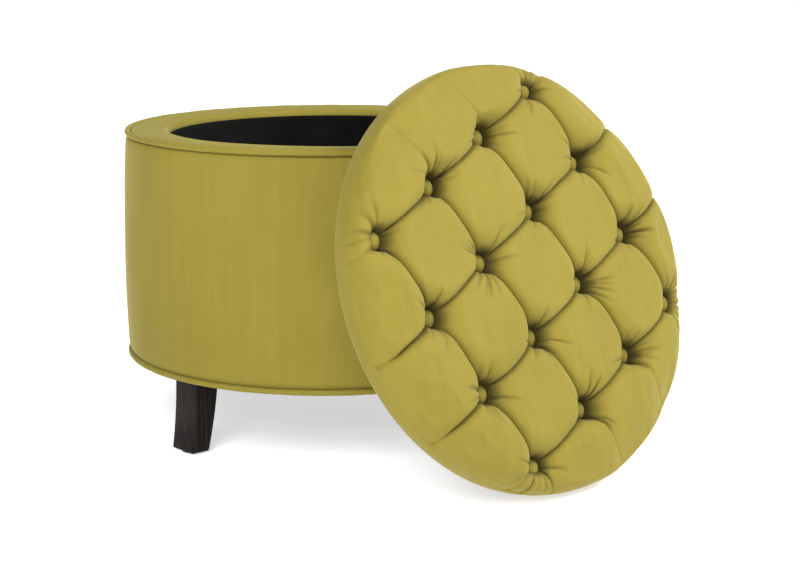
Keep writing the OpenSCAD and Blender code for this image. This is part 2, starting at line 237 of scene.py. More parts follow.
def capped(grid, first_middle, last_middle):
    """Rings of points joined by quads, with a fan at each end from its ring to that end's middle point."""
    rows, turns = grid.shape[:2]
    across, along = grid_corners(rows, turns, False, True)
    first, last = np.arange(turns), (rows - 1) * turns + np.arange(turns)
    fans = np.concatenate([
        np.stack([np.full(turns, rows * turns), np.roll(first, -1), first], 1),
        np.stack([np.full(turns, rows * turns + 1), last, np.roll(last, -1)], 1),
    ])
    points = np.vstack([grid.reshape(-1, 3), [first_middle], [last_middle]])
    return points, [across * turns + along % turns, fans]


def arc_length(section):
    """Distance along a section from its first point."""
    steps = np.linalg.norm(np.diff(section, axis=0), axis=1)
    return np.concatenate([[0], np.cumsum(steps)])


def turned(section, turns, start=0.0):
    """A closed section of radii and heights carried once round the drum's axis.

    Each point goes to (r cos a, r sin a, z) for every angle a. Both directions wrap, so nothing is left open.
    """
    angles = start + 2 * np.pi * np.arange(turns) / turns
    r, z = section[:, 0][:, None], section[:, 1][:, None]
    points = np.stack([r * np.cos(angles), r * np.sin(angles), z + 0 * angles], -1)
    across, along = grid_corners(len(section), turns, True, True)
    closed = np.vstack([section, section[:1]])
    mean_r = float(section[:, 0].mean())
    uv = np.stack([along * (2 * np.pi * mean_r / turns), arc_length(closed)[across]], -1)
    return points, (across % len(section)) * turns + along % turns, uv, angles


def move_out(points, angles, amount):
    """Moves points away from the drum's axis by an amount: (x + d cos a, y + d sin a)."""
    points[..., 0] += amount * np.cos(angles)
    points[..., 1] += amount * np.sin(angles)


def place_on_drum(points):
    """From round the drum's own axis to where the drum stands."""
    return points.reshape(-1, 3) + [DRUM.x, DRUM.y, 0]


def from_seam(angles, radius):
    """Distance round the drum from its sewn seam, the short way."""
    return np.abs((angles - SEAM + np.pi) % (2 * np.pi) - np.pi) * radius


def waves(x, y, spans, height, rng):
    """A smooth random field: a sum of sine waves of the given spans, each in its own direction."""
    total = 0.0 * x
    for span in spans:
        a, phase = rng.uniform(0, 2 * np.pi, 2)
        total = total + np.sin((x * np.cos(a) + y * np.sin(a)) * 2 * np.pi / span + phase)
    return total * height / math.sqrt(len(spans))


# the tufted lid

def lid_section(lid):
    """Half the lid's profile from the middle of its face to the hem's edge, in metres.

    A flat face, a quarter ellipse down to the widest level, a slimmer quarter ellipse under it, and the hem.
    """
    flat_r = lid.radius - lid.shoulder_w
    board_r = lid.radius - lid.edge_bulge
    down = np.linspace(np.pi / 2, 0, 60)
    under = np.linspace(0, -np.pi / 2, 24)[1:]
    parts = [
        np.stack([np.linspace(0, flat_r, 60), np.full(60, lid.height)], 1)[:-1],
        np.stack([
            flat_r + lid.shoulder_w * np.cos(down),
            lid.widest_z + (lid.height - lid.widest_z) * np.sin(down),
        ], 1),
        np.stack([
            board_r + lid.edge_bulge * np.cos(under),
            lid.widest_z + (lid.widest_z + lid.cloth_t) * np.sin(under),
        ], 1),
        np.stack([np.linspace(board_r, board_r - lid.hem_in, 12), np.full(12, -lid.cloth_t)], 1)[1:],
    ]
    return np.concatenate(parts)


def cusp(x):
    """1 at a crease and 0 a full width away, with a rounded pillow between: 1 - (1 - (1 - x)^n)^(1/n)."""
    n = 2.35
    return 1 - (1 - (1 - np.clip(x, 0, 1)) ** n) ** (1 / n)


def line_dents(off, along, r, lid, pleat, last):
    """How far one family of tufting lines pulls the cloth down, from 0 to 1.

    Between buttons the pull goes from 1 at a button to the crease's depth halfway. Past the outer
    buttons it goes on as a narrower pleat, which fades towards the lid's edge.
    """
    line = np.clip(np.round(off + last / 2), 0, last)
    across = np.abs(off - (line - last / 2))
    t = along + last / 2
    out = np.maximum(np.maximum(-t, t - last), 0)
    inside = np.abs(np.cos(np.pi * t)) ** 6
    beyond = np.cos(np.pi * np.minimum(out, 0.5)) ** 7
    corner = np.where((line == 0) | (line == last), 0.6, 1.0)
    pleat = pleat * corner * (1 - 0.4 * smooth_step(r, 0.252, 0.272))
    pull = np.where(out > 0, pleat + (1 - pleat) * beyond, lid.crease + (1 - lid.crease) * inside)
    reach = 0.5 - 0.32 * smooth_step(out, 0, 0.42)
    slit = np.where(out > 0, 0.55 * pleat, 0.14) * np.exp(-((across * lid.pitch / 0.0022) ** 2))
    return np.clip(pull * cusp(across / reach) + slit, 0, 1)


def wrinkles(x, y, buttons, rng):
    """Thin folds that fan out from each button, each a dent along a ray that is narrow at the button."""
    total = 0.0 * x
    for bx, by in buttons:
        outward = math.atan2(by, bx)
        dx, dy = x - bx, y - by
        near = np.hypot(dx, dy) < 0.075
        dx, dy = dx[near], dy[near]
        dents = 0.0 * dx
        for _ in range(FOLDS):
            turn = outward + rng.normal(0, 1.4)
            reach = rng.uniform(0.024, 0.058)
            wide, deep = rng.uniform(0.0012, 0.0020), rng.uniform(0.0013, 0.0034)
            along = dx * np.cos(turn) + dy * np.sin(turn)
            aside = -dx * np.sin(turn) + dy * np.cos(turn) + 0.10 * along**2 / reach * rng.uniform(-1, 1)
            wide = wide * (0.6 + 0.9 * np.clip(along / reach, 0, 1))
            ends = smooth_step(along, 0.008, 0.016) * (1 - smooth_step(along, 0.45 * reach, reach))
            dents += deep * np.exp(-((aside / wide) ** 2)) * ends
        total[near] += dents
    return total


def tufted_surface(lid, count):
    """The lid's cloth as a square grid laid over the whole lid, in the lid's own frame.

    A square (p, q) becomes a disc by (p sqrt(1 - q^2/2), q sqrt(1 - p^2/2)). The disc's radius is
    distance along the lid's profile, so the grid runs over the face, down the edge and under the
    board. Each point then moves in: straight down by the height over a button's seat times
    1 - (1 - A)(1 - B), where A and B are the pulls of the two families of tufting lines.
    """
    rng = np.random.default_rng(SEED)
    section = lid_section(lid)
    along = arc_length(section)
    side = np.linspace(-1, 1, count)
    p, q = np.meshgrid(side, side, indexing="ij")
    cx, cy = p * np.sqrt(1 - q * q / 2), q * np.sqrt(1 - p * p / 2)
    rho = np.clip(np.hypot(cx, cy), 1e-9, 1)
    ux, uy = cx / rho, cy / rho
    at = rho * along[-1]
    r, z = np.interp(at, along, section[:, 0]), np.interp(at, along, section[:, 1])
    slope = np.gradient(section, along, axis=0)
    tr, tz = np.interp(at, along, slope[:, 0]), np.interp(at, along, slope[:, 1])
    length = np.hypot(tr, tz)
    out_r, out_z = -tz / length, tr / length

    # the tufting grid, which waves a little between the buttons
    x, y = r * ux, r * uy
    c, s = math.cos(lid.turn), math.sin(lid.turn)
    gx, gy = (x * c + y * s) / lid.pitch, (-x * s + y * c) / lid.pitch
    free = np.sin(np.pi * (gx + 0.5)) ** 2 + np.sin(np.pi * (gy + 0.5)) ** 2
    gx = gx + 0.5 * free * waves(x, y, [0.16, 0.11, 0.23], 0.020, rng)
    gy = gy + 0.5 * free * waves(x, y, [0.15, 0.12, 0.21], 0.020, rng)
    last = lid.count - 1
    dent_x = line_dents(gx, gy, r, lid, 0.05, last)
    dent_y = line_dents(gy, gx, r, lid, 0.42, last)
    height = (1 - dent_x) * (1 - dent_y)

    steps = np.arange(lid.count) - last / 2
    bx, by = (v.ravel() * lid.pitch for v in np.meshgrid(steps, steps, indexing="ij"))
    buttons = np.stack([bx * c - by * s, bx * s + by * c], 1)
    nearest = np.full(x.shape, 1.0)
    for bx, by in buttons:
        nearest = np.minimum(nearest, np.hypot(x - bx, y - by))
    height = height * smooth_step(nearest, 0.88 * lid.button_r, 1.55 * lid.button_r)

    face = (at < along[-1] - lid.hem_in - 0.030) * 1.0
    room = np.maximum(z - lid.seat_z, 0.010 * smooth_step(z, 0.0, lid.widest_z))
    down = room * (1 - height) * face
    lean_in = smooth_step(r, 0.238, 0.264)
    dir_r, dir_z = -out_r * lean_in, -(1 - lean_in) - out_z * lean_in
    soft = height * face
    creased = wrinkles(x, y, buttons, rng) * face
    lift = waves(x, y, [0.09, 0.13, 0.21, 0.31], 0.0010, rng) * soft - creased
    r2 = r + down * dir_r + lift * out_r
    z2 = z + down * dir_z + lift * out_z
    points = np.stack([r2 * ux, r2 * uy, z2], -1)
    flat = np.stack([at * ux, at * uy], -1)
    # how deep each point sits in a crease, a button pocket or a thin fold: the velvet paints shade from it, and
    # the settling holds the cloth by it
    fold = np.clip(smooth_step((1 - height) * face, 0.22, 0.95) + 0.45 * creased / 0.0028, 0, 1)
    return points, flat, buttons, fold


def closed_grid(grid, middle):
    """A square grid's quads, and a fan that closes it from its whole edge to one point in the middle."""
    count = len(grid)
    across, along = grid_corners(count, count)
    ring = np.arange(count)
    edge = np.concatenate([
        ring[::-1], count * ring[1:],
        (count - 1) * count + ring[1:], count * ring[::-1][1:-1] + count - 1,
    ])
    fan = np.stack([edge, np.roll(edge, -1), np.full(len(edge), count * count)], 1)
    points = np.vstack([grid.reshape(-1, grid.shape[-1]), [middle]])
    return points, [across * count + along, fan]


def spline_weights(fine, coarse):
    """Each fine sample's weights on the coarse ones, by the uniform cubic B-spline."""
    at = np.linspace(0, coarse - 1, fine)
    first = np.minimum(np.floor(at).astype(int), coarse - 2)
    f = at - first
    cubics = ((1 - f) ** 3, 3 * f**3 - 6 * f**2 + 4, -3 * f**3 + 3 * f**2 + 3 * f + 1, f**3)
    weights = np.zeros((fine, coarse))
    for k, cubic in enumerate(cubics):
        np.add.at(weights, (np.arange(fine), np.clip(first - 1 + k, 0, coarse - 1)), cubic / 6)
    return weights


def settled(lid, count, coarse, cap):
    """How far each point of the lid's cloth moves as it settles over its padding, for a grid of count by count.

    A coarser copy of the cloth, a little larger than its padding, is simulated under pressure from
    inside, held at the buttons, by the creases and under the board. Its moves are capped, and spread
    over the finer grid by a cubic spline.
    """
    grid, _, buttons, fold = tufted_surface(lid, coarse)
    points, faces = closed_grid(grid, [0, 0, -lid.cloth_t / 2])
    mesh = bpy.data.meshes.new("settling")
    mesh.from_pydata(points.tolist(), [], [face for group in faces for face in group.tolist()])
    cloth = bpy.data.objects.new("settling", mesh)
    bpy.context.scene.collection.objects.link(cloth)
    nearest = np.min([np.hypot(grid[..., 0] - bx, grid[..., 1] - by) for bx, by in buttons], axis=0)
    held = np.maximum(1 - smooth_step(nearest, 1.1 * lid.button_r, 1.7 * lid.button_r), 0.5 * fold**2)
    held = np.maximum(held, 1 - smooth_step(grid[..., 2], 0.004, 0.056))
    pins = cloth.vertex_groups.new(name="pins")
    levels = np.round(50 * np.append(held.ravel(), 1.0)).astype(int)
    for level in np.unique(levels):
        pins.add(np.flatnonzero(levels == level).tolist(), level / 50, "REPLACE")
    cloth.modifiers.new("cloth", "CLOTH")
    settings = cloth.modifiers["cloth"].settings
    settings.quality, settings.mass, settings.air_damping = 6, 0.3, 4.0
    settings.tension_stiffness, settings.compression_stiffness, settings.shear_stiffness = 18, 12, 4
    settings.bending_stiffness = 0.6
    settings.vertex_group_mass = "pins"
    settings.shrink_min = -0.008
    settings.use_pressure, settings.uniform_pressure_force = True, 3.5
    settings.effector_weights.gravity = 0
    scene = bpy.context.scene
    for step in range(1, 21):
        scene.frame_set(step)
    shape = cloth.evaluated_get(bpy.context.evaluated_depsgraph_get()).to_mesh()
    after = np.zeros(len(points) * 3, np.float32)
    shape.vertices.foreach_get("co", after)
    cloth.evaluated_get(bpy.context.evaluated_depsgraph_get()).to_mesh_clear()
    scene.frame_set(1)
    bpy.data.objects.remove(cloth)
    bpy.data.meshes.remove(mesh)
    moved = (after.reshape(-1, 3)[:-1] - points[:-1]).reshape(coarse, coarse, 3)
    far = np.linalg.norm(moved, axis=-1, keepdims=True)
    moved = moved * cap * np.tanh(far / cap) / np.maximum(far, 1e-9) * (1 - held[..., None])
    weights = spline_weights(count, coarse)
    spread = np.tensordot(weights, moved, (1, 0))
    return np.tensordot(spread, weights, (1, 1)).transpose(0, 2, 1)


def place_in_lid(points):
    """From the lid's own frame to where the lid leans: origin + u X + v up the slope + n out of the face."""
    return LID_ORIGIN + points @ LID_AXES


class OTTOMAN_OT_cushion(bpy.types.Operator):
    """Make the lid's tufted velvet cushion"""

    bl_idname = "ottoman.cushion"
    bl_label = "Tufted cushion"

    def execute(self, context):
        lid = context.scene.ottoman_lid
        count = FINE
        grid, flat, _, fold = tufted_surface(lid, count)
        grid = grid + settled(lid, count, COARSE, SETTLE_CAP)
        # the grid's edge is the hem's edge, and a disc in the board's plane closes it
        points, faces = closed_grid(grid, [0, 0, -lid.cloth_t / 2])
        flat = closed_grid(flat, [0, 0])[0]
        piece = make_piece(
            "tufted_cushion", place_in_lid(points), faces, "lid", velvet(),
            [flat[f] for f in faces], np.append(fold.ravel(), 0),
        )
        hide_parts("lid_cover", "lid_foam", "lid_wadding")
        return {"FINISHED"}


class OTTOMAN_OT_buttons(bpy.types.Operator):
    """Make the covered buttons in the lid's pockets"""

    bl_idname = "ottoman.buttons"
    bl_label = "Covered buttons"

    def execute(self, context):
        lid = context.scene.ottoman_lid
        rng = np.random.default_rng(SEED + 1)
        buttons = tufted_surface(lid, 8)[2]
        dome_h, skirt_h, seat = 0.0063, 0.0012, lid.seat_z + 0.0012
        a = np.linspace(0, 0.5 * np.pi, 9)[1:]
        # a dome that turns down over a rounded edge, then in under the button
        r = np.concatenate([lid.button_r * np.sin(a), lid.button_r * np.array([1.0, 0.93, 0.6])])
        z = np.concatenate([seat + dome_h * np.cos(a) ** 1.2, seat - skirt_h * np.array([0.35, 0.9, 1.0])])
        turns, start = 40, 0
        angles = 2 * np.pi * np.arange(turns) / turns
        over_edge = smooth_step(a.max() * r / r.max(), 0.9, 1.5)[:, None]
        points, quads, fans = [], [], []
        for bx, by in buttons:
            gathers = 1 + 0.012 * np.sin(angles * 13 + rng.uniform(0, 6.3))[None, :] * over_edge
            grid = np.stack([
                bx + r[:, None] * gathers * np.cos(angles), by + r[:, None] * gathers * np.sin(angles),
                z[:, None] + 0 * angles,
            ], -1)
            button, faces = capped(grid, [bx, by, seat + dome_h], [bx, by, seat - skirt_h])
            points.append(button)
            quads.append(start + faces[0])
            fans.append(start + faces[1])
            start += len(button)
        points = np.vstack(points)
        faces = [np.vstack(quads), np.vstack(fans)]
        piece = make_piece(
            "covered_buttons", place_in_lid(points), faces, "lid", velvet(),
            [points[f][..., :2] for f in faces],
        )
        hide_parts("tuft_buttons")
        return {"FINISHED"}


# the drum's upholstery

def puckers(angles, strength, rng, waves_round=(210, 287, 163)):
    """Small gathers along a sewn edge: three quick sine waves round the drum, added, times a slow swell."""
    total = sum(np.sin(n * angles + rng.uniform(0, 6.3)) for n in waves_round)
    slow = 0.6 + 0.4 * np.sin(3 * angles + rng.uniform(0, 6.3)) * np.sin(7 * angles + rng.uniform(0, 6.3))
    return strength * total * slow / len(waves_round)


class OTTOMAN_OT_side(bpy.types.Operator):
    """Make the drum's padded velvet side"""

    bl_idname = "ottoman.side"
    bl_label = "Padded side"

    def execute(self, context):
        drum = context.scene.ottoman_drum
        rng = np.random.default_rng(SEED + 2)
        low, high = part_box("side_cover")
        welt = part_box("hem_piping")[1].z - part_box("hem_piping")[0].z
        z0, z1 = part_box("hem_piping")[1].z + 0.0002, high.z
        cloth_t = 0.0016
        hem_r = width("hem_piping") / 2 - welt - 0.0001
        t = np.linspace(0, 1, 70)
        # a parabola that is widest at one level and reaches the piping's radius at the top
        from_widest = (t - drum.widest_at) / (1 - drum.widest_at)
        outer_r = drum.widest_r - (drum.widest_r - drum.top_r) * from_widest**2
        # the padding rolls over where it is sewn into the piping, at both ends
        roll = 0.0045 * (np.exp(-t * (z1 - z0) / 0.0035) + 0.8 * np.exp(-(1 - t) * (z1 - z0) / 0.0035))
        face = np.stack([outer_r - roll, z0 + t * (z1 - z0)], 1)
        inner = np.array([
            [drum.wall_r + 0.0002, z1 - 0.0002], [drum.wall_r + 0.0002, z0 + cloth_t],
            [hem_r - cloth_t, z0 + cloth_t], [hem_r - cloth_t, low.z + cloth_t],
            [hem_r - drum.hem_turn_in, low.z + cloth_t], [hem_r - drum.hem_turn_in, low.z],
            [hem_r - 0.002, low.z], [hem_r, low.z + 0.002],
        ])
        section = np.vstack([face, inner])
        turns = 860
        points, quads, uv, angles = turned(section, turns, SEAM)
        rows = np.arange(len(section))
        on_face = (rows < len(face))[:, None] * 1.0
        tt = np.concatenate([t, np.zeros(len(inner))])[:, None]
        away = from_seam(angles, drum.widest_r)
        # a groove at the seam, and the ridge of its turned edge beside it
        groove = 0.0016 * np.exp(-((away / 0.0022) ** 2)) - 0.0007 * np.exp(-(((away - 0.006) / 0.003) ** 2))
        edge = np.exp(-tt * 22) + np.exp(-(1 - tt) * 22)
        slack = waves(angles * 0.28 + 0 * tt, tt * 0.3, [0.32, 0.21, 0.17, 0.44], 0.0007, rng)
        push = on_face * (slack * np.sin(np.pi * tt) - groove + edge * puckers(angles, 0.00028, rng))
        move_out(points, angles, push)
        piece = make_piece(
            "side_upholstery", place_on_drum(points), [quads], "drum", velvet(), [uv]
        )
        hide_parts("side_cover", "side_padding")
        return {"FINISHED"}


class OTTOMAN_OT_collar(bpy.types.Operator):
    """Make the padded collar around the opening"""

    bl_idname = "ottoman.collar"
    bl_label = "Padded collar"

    def execute(self, context):
        drum = context.scene.ottoman_drum
        rng = np.random.default_rng(SEED + 3)
        low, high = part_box("collar_cover")
        outer_r = width("collar_cover") / 2
        ring_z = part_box("top_ring")[1].z
        a = np.linspace(np.pi, 0.5 * np.pi, 16)
        lip = np.stack([drum.well_r + drum.lip_r * (1 + np.cos(a)), ring_z + drum.lip_r * np.sin(a)], 1)
        r = np.linspace(drum.well_r + drum.lip_r, outer_r, 26)[1:]
        u = (r - r[0]) / (r[-1] - r[0])
        # a little crown, then down into the seam beside the piping
        crown = 0.0012 * np.sin(np.pi * u) - 0.0030 * np.exp(-(outer_r - r) / 0.0025)
        top = np.stack([r, high.z + crown], 1)
        under = np.array([
            [outer_r - 0.0016, ring_z + 0.0002], [drum.well_r + 0.0018, ring_z + 0.0002],
            [drum.well_r + 0.0016, low.z], [drum.well_r + 0.0008, low.z - 0.0002],
            [drum.well_r, low.z + 0.0006],
        ])
        section = np.vstack([lip, top, under])
        turns = 780
        points, quads, uv, angles = turned(section, turns, SEAM)
        rows = np.arange(len(section))
        seen = (rows < len(lip) + len(top))[:, None]
        near_seam = np.exp(-np.abs(outer_r - section[:, 0]) / 0.006)[:, None]
        spans = [0.13, 0.09, 0.21, 0.34]
        slack = waves(angles * 0.25 + 0 * near_seam, section[:, 0][:, None], spans, 0.0005, rng)
        groove = 0.0012 * np.exp(-((from_seam(angles, outer_r) / 0.002) ** 2))
        points[..., 2] += seen * (slack + near_seam * puckers(angles, 0.00045, rng) - groove)
        piece = make_piece(
            "collar_upholstery", place_on_drum(points), [quads], "drum", velvet(), [uv]
        )
        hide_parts("collar_cover", "collar_padding")
        return {"FINISHED"}


class OTTOMAN_OT_welts(bpy.types.Operator):
    """Make the piping at the top and at the hem"""

    bl_idname = "ottoman.welts"
    bl_label = "Piping"

    def execute(self, context):
        for node, name in (("top_piping", "top_welt"), ("hem_piping", "hem_welt")):
            rng = np.random.default_rng(SEED + len(name))
            low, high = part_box(node)
            tube_r = (high.z - low.z) / 2
            ring_r, ring_z = (high.x - low.x) / 2 - tube_r, (high.z + low.z) / 2
            a = 2 * np.pi * np.arange(18) / 18
            section = np.stack([ring_r + tube_r * np.cos(a), ring_z + tube_r * np.sin(a)], 1)
            turns = 900
            points, quads, uv, angles = turned(section, turns, SEAM)
            # the cloth ruffles a little as it is pulled round the cord
            ruffle = 0.00016 * waves(angles * ring_r, 0 * angles, [0.011, 0.017, 0.026, 0.007], 1.0, rng)
            move_out(points, angles, ruffle * np.cos(a)[:, None])
            points[..., 2] += ruffle * np.sin(a)[:, None]
            piece = make_piece(name, place_on_drum(points), [quads], "drum", velvet(), [uv])
            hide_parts(node)
        return {"FINISHED"}


# linings

def ripple(x, y, height, phases):
    """Soft ripples from 0 to twice the height: sine waves of three spans along x, each slanted along y."""
    spans = (0.11, 0.17, 0.29)
    total = sum(np.sin(x * 2 * np.pi / span + y * (7 + k) + phases[k]) for k, span in enumerate(spans))
    return height * (1 + total / 3)


def thin_disc(radius, z0, z1, rings, turns, height, phases):
    """A round rippled sheet with two faces and a rim: rings of points out, over the edge and back."""
    radii = radius * np.linspace(0, 1, rings + 1)[1:]
    r = np.concatenate([radii, radii[::-1]])
    z = np.concatenate([np.full(rings, z1), np.full(rings, z0)])
    angles = 2 * np.pi * np.arange(turns) / turns
    x, y = r[:, None] * np.cos(angles), r[:, None] * np.sin(angles)
    grid = np.stack([x, y, z[:, None] + ripple(x, y, height, phases)], -1)
    at_middle = ripple(0.0, 0.0, height, phases)
    return capped(grid, [0, 0, z1 + at_middle], [0, 0, z0 + at_middle])


class OTTOMAN_OT_linings(bpy.types.Operator):
    """Make the black cloth in the well, under the base and on the lid's underside"""

    bl_idname = "ottoman.linings"
    bl_label = "Linings"

    def execute(self, context):
        rng = np.random.default_rng(SEED + 4)
        cloth = black_cloth()
        low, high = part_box("lining_wall")
        out_r, turns, levels = width("lining_wall") / 2, 420, 60
        outer = np.stack([np.full(levels, out_r), np.linspace(low.z, high.z, levels)], 1)
        section = np.vstack([outer, (outer - [LINING_T, 0])[::-1]])
        points, quads, uv, angles = turned(section, turns, SEAM)
        z = section[:, 1][:, None]
        # the cloth hangs a little slack, in long soft folds that end at its stapled top, clear of the wall
        slack = waves(angles * out_r, z * 0.25, [0.12, 0.19, 0.31, 0.08], 0.0009, rng)
        slack = slack * (1 - smooth_step(z, high.z - 0.03, high.z))
        move_out(points, angles, np.minimum(slack - 0.0010, -0.00005))
        wall = make_piece("well_lining", place_on_drum(points), [quads], "drum", cloth, [uv])
        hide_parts("lining_wall")
        phases = np.random.default_rng(SEED + 5).uniform(0, 6.3, 3)
        for node, name, slot, body, under, height in (
            ("lining_floor", "well_floor_cloth", "well_lining", "drum", "floor_panel", 0.0004),
            ("dust_cover", "dust_cloth", "dust_cloth", "drum", "bottom_board", 0.0),
            ("lid_lining", "lid_underside_cloth", "well_lining", "lid", "lid_board", 0.0),
        ):
            radius = width(node) / 2
            if body == "lid":
                velvet_t = context.scene.ottoman_lid.cloth_t
                z0, z1, place = -velvet_t - LINING_T, -velvet_t, place_in_lid
            else:
                low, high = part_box(node)
                z0, z1, place = low.z, high.z, place_on_drum
            points, faces = thin_disc(radius, z0, z1, 28, 160, height, phases)
            uvs = [points[f][..., :2] for f in faces]
            piece = make_piece(name, place(points), faces, body, cloth, uvs)
            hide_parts(node)
        return {"FINISHED"}


# legs

class OTTOMAN_OT_legs(bpy.types.Operator):
    """Make the four stained legs with eased edges"""

    bl_idname = "ottoman.legs"
    bl_label = "Legs"

    def execute(self, context):
        drum = context.scene.ottoman_drum
        wood = stained_wood()
        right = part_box("leg_right")
        top_w, z_top, z_foot = right[1].y - right[0].y, right[1].z, right[0].z
        top_out = right[1].x - DRUM.x - drum.leg_flare
        t = np.linspace(0, 1, 34)
        # extra levels close to both ends, where the edges are eased
        t = np.unique(np.concatenate([t, [0.004, 0.010, 0.018, 0.982, 0.990, 0.996]]))
        ease = 0.0022
        for leg, turn in (("leg_right", 0), ("leg_back", 90), ("leg_left", 180), ("leg_front", 270)):
            outer = top_out + drum.leg_flare * t * t
            depth = drum.leg_top_depth + (drum.leg_foot_depth - drum.leg_top_depth) * t
            wide = top_w + (drum.leg_foot_w - top_w) * t
            z = z_top + (z_foot - z_top) * t
            from_end = np.minimum(t, 1 - t) * (z_top - z_foot)
            # a quarter circle at each end: e (1 - sqrt(1 - (1 - d / e)^2))
            shrink = ease * (1 - np.sqrt(np.clip(1 - (1 - np.clip(from_end / ease, 0, 1)) ** 2, 0, 1)))
            # a rectangle with rounded corners, walked round once: corner centres plus quarter circles
            corner = 0.0030
            quarter = np.linspace(0, np.pi / 2, 7)
            ring = []
            for k, (sx, sy) in enumerate(((1, 1), (-1, 1), (-1, -1), (1, -1))):
                a = quarter + k * np.pi / 2
                cx = (outer - depth / 2)[:, None] + sx * (depth / 2 - shrink - corner)[:, None]
                cy = sy * (wide / 2 - shrink - corner)[:, None]
                rounded = [cx + corner * np.cos(a), cy + corner * np.sin(a), z[:, None] + 0 * a]
                ring.append(np.stack(rounded, -1))
            grid = np.concatenate(ring, 1)
            points, faces = capped(grid, grid[0].mean(0), grid[-1].mean(0))
            a = math.radians(turn)
            spin = np.array([[math.cos(a), math.sin(a), 0], [-math.sin(a), math.cos(a), 0], [0, 0, 1]])
            name = leg.replace("leg", "stained_leg")
            piece = make_piece(name, place_on_drum(points @ spin), faces, "drum", wood)
            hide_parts(leg)
        return {"FINISHED"}


# finishes

class Value:
    """A socket that can be used in arithmetic: each operation adds a Math node."""

    def __init__(self, finish, socket):
        self.finish, self.socket = finish, socket

    def math(self, operation, *values):
        return self.finish.node("ShaderNodeMath", {"operation": operation}, dict(enumerate(values)))

    def __add__(self, other):
        return self.math("ADD", self, other)

    def __mul__(self, other):
        return self.math("MULTIPLY", self, other)

    __radd__, __rmul__ = __add__, __mul__


class Finish:
    """A material being built from nodes."""

    def __init__(self, name):
        self.material = bpy.data.materials.new(name)
        self.material.use_nodes = True
        self.nodes = self.material.node_tree.nodes
        self.nodes.clear()

    def node(self, kind, settings=None, sockets=None, out=0):
        """A node of that type: its settings first, then a value or a link for each socket named or numbered."""
        made = self.nodes.new(kind)
        for key, value in (settings or {}).items():
            if key == "stops":
                ramp = made.color_ramp.elements
                for stop, (at, tint) in zip((ramp[0], ramp[1]), value):
                    stop.position, stop.color = at, (*tint, 1)
                for at, tint in value[2:]:
                    ramp.new(at).color = (*tint, 1)
            else:
                setattr(made, key, value)
        for key, value in (sockets or {}).items():
            if isinstance(value, Value):
                self.material.node_tree.links.new(value.socket, made.inputs[key])
            else:
                made.inputs[key].default_value = value
        return Value(self, made.outputs[out]) if len(made.outputs) else None

    def place(self, source="Object", scale=(1, 1, 1), turn=(0, 0, 0)):
        """Object coordinates, or the piece's UV map, scaled and turned."""
        if source == "UV":
            where = self.node("ShaderNodeUVMap", {"uv_map": "cloth"})
        else:
            where = self.node("ShaderNodeTexCoord", out=source)
        return self.node("ShaderNodeMapping", sockets={"Vector": where, "Scale": scale, "Rotation": turn})

    def noise(self, where, scale, detail=2.0, roughness=0.5):
        return self.node(
            "ShaderNodeTexNoise",
            sockets={"Vector": where, "Scale": scale, "Detail": detail, "Roughness": roughness},
            out="Fac",
        )

    def spread(self, value, low, high):
        """0 where value is low, 1 where it is high, smooth between."""
        return self.node(
            "ShaderNodeMapRange", {"interpolation_type": "SMOOTHSTEP"},
            {"Value": value, "From Min": low, "From Max": high},
        )

    def mix(self, factor, a, b):
        """Colour a where factor is 0, b where it is 1."""
        colours = [v if isinstance(v, Value) else (*v, 1) for v in (a, b)]
        sockets = {0: factor, 6: colours[0], 7: colours[1]}
        return self.node("ShaderNodeMix", {"data_type": "RGBA"}, sockets, out=2)

    def bump(self, height, strength, distance):
        sockets = {"Height": height, "Strength": strength, "Distance": distance}
        return self.node("ShaderNodeBump", sockets=sockets)

    def shade(self, **sockets):
        """The Principled shader with these sockets; an underscore in a name stands for a space."""
        named = {key.replace("_", " "): value for key, value in sockets.items()}
        shader = self.node("ShaderNodeBsdfPrincipled", sockets=named)
        self.node("ShaderNodeOutputMaterial", sockets={"Surface": shader})
        return self.material


def made_once(maker):
    """Keeps a material so that pieces share it."""
    made = {}

    def get():
        if "material" not in made:
            made["material"] = maker()
        return made["material"]

    return get


@made_once
def velvet():
    """Cotton velvet: ground and nap colours in streaks and soft patches, with a pale sheen, and painted shade
    where the fold attribute marks creases and pockets.
    """
    paint = bpy.context.scene.ottoman_finish
    f = Finish("cotton_velvet")
    streaks = f.noise(f.place("UV", (70, 5, 1)), 1.0, 4.0, 0.62)
    rows = f.noise(f.place("UV", (420, 30, 1)), 1.0, 2.0, 0.5)
    patches = f.noise(f.place(), 11.0, 3.0, 0.55)
    tone = f.spread(0.42 * streaks + 0.16 * rows + 0.42 * patches, 0.36, 0.64)
    pile = f.noise(f.place(), 900.0, 2.0, 0.6)
    # painted shade: in the creases, pockets and thin folds that the fold attribute marks, the colour is
    # darkened towards near-black
    fold = f.node("ShaderNodeAttribute", {"attribute_name": "fold"}, out="Fac")
    ground = f.mix(tone, tuple(paint.velvet), tuple(paint.nap))
    return f.shade(
        Base_Color=f.mix(0.86 * fold, ground, tuple(paint.crease_shade)),
        Roughness=0.82,
        Specular_IOR_Level=0.25,
        Sheen_Weight=0.26,
        Sheen_Roughness=0.34,
        Sheen_Tint=(*paint.sheen, 1),
        Normal=f.bump(0.7 * pile + 0.3 * rows, 0.25, 0.0006),
    )


@made_once
def black_cloth():
    """Plain black cloth: a fine weave and faint brushed patches."""
    paint = bpy.context.scene.ottoman_finish
    f = Finish("black_cloth")
    warp, weft = (
        f.node(
            "ShaderNodeTexWave", {"bands_direction": way}, {"Vector": f.place("UV"), "Scale": 260.0}, out="Fac"
        )
        for way in "XY"
    )
    patches = f.noise(f.place(), 14.0, 3.0)
    tint = tuple(paint.lining)
    return f.shade(
        Base_Color=f.mix(f.spread(patches, 0.35, 0.7), tint, tuple(1.9 * c for c in tint)),
        Roughness=0.95,
        Specular_IOR_Level=0.06,
        Sheen_Weight=0.03,
        Normal=f.bump(warp * weft, 0.4, 0.0004),
    )


